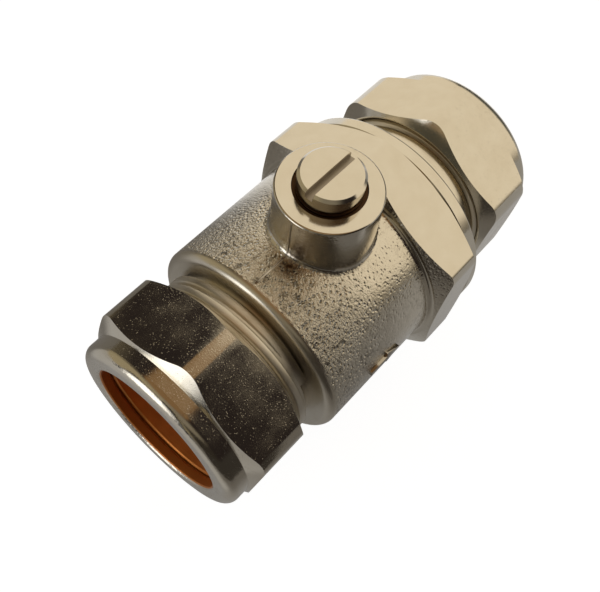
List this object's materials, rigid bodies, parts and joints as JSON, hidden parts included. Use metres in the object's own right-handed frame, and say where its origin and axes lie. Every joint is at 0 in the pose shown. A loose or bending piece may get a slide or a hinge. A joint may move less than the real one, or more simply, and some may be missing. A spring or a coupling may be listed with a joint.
{
  "type": "isolating valve",
  "caption": "Straight plated-brass isolating valve for pipe: compression ends, a ball inside, and a slotted stem that shuts the water off with a quarter turn.",
  "frame": {"origin": "centre of the inlet pipe stop, on the pipe axis, where the end of the inlet pipe rests", "axes": "+X along the pipe from the inlet to the outlet, +Z along the stem towards its slot"},
  "size_m": [0.0717, 0.0368, 0.0488],
  "materials": {
    "nickel_plated_brass": "bright nickel plating over forged and machined brass",
    "chrome_plated_ball": "hard chrome over brass, mirror polished",
    "copper": "soft drawn copper",
    "ptfe": "turned, waxy white",
    "epdm_rubber": "moulded, greased"
  },
  "bodies": {
    "housing": {"valve_body": "nickel_plated_brass", "end_connector": "nickel_plated_brass", "inlet_seat": "ptfe", "outlet_seat": "ptfe", "stem_washer": "ptfe", "connector_seal": "epdm_rubber"},
    "spindle": {"stem": "nickel_plated_brass", "ball": "chrome_plated_ball", "lower_stem_seal": "epdm_rubber", "upper_stem_seal": "epdm_rubber"},
    "inlet_olive": {"inlet_olive": "copper"},
    "inlet_nut": {"inlet_nut": "nickel_plated_brass"},
    "outlet_olive": {"outlet_olive": "copper"},
    "outlet_nut": {"outlet_nut": "nickel_plated_brass"}
  },
  "joints": [
    {"name": "stem_turn", "type": "hinge", "parent": "housing", "child": "spindle", "pos_m": [0.014, 0, 0], "axis": [0, 0, 1], "continuous": true},
    {"name": "inlet_olive_slide", "type": "slide", "parent": "housing", "child": "inlet_olive", "axis": [-1, 0, 0], "range_m": [0, 0.00635]},
    {"name": "inlet_nut_turn", "type": "hinge", "parent": "inlet_olive", "child": "inlet_nut", "pos_m": [0, 0, 0], "axis": [-1, 0, 0], "range_deg": [0, 1260]},
    {"name": "outlet_olive_slide", "type": "slide", "parent": "housing", "child": "outlet_olive", "axis": [1, 0, 0], "range_m": [0, 0.00635]},
    {"name": "outlet_nut_turn", "type": "hinge", "parent": "outlet_olive", "child": "outlet_nut", "pos_m": [0.0319, 0, 0], "axis": [1, 0, 0], "range_deg": [0, 1260]}
  ],
  "couplings": [
    {"joint": "inlet_olive_slide", "follows": "inlet_nut_turn", "m_per_rad": 0.00028871},
    {"joint": "outlet_olive_slide", "follows": "outlet_nut_turn", "m_per_rad": 0.00028871}
  ]
}
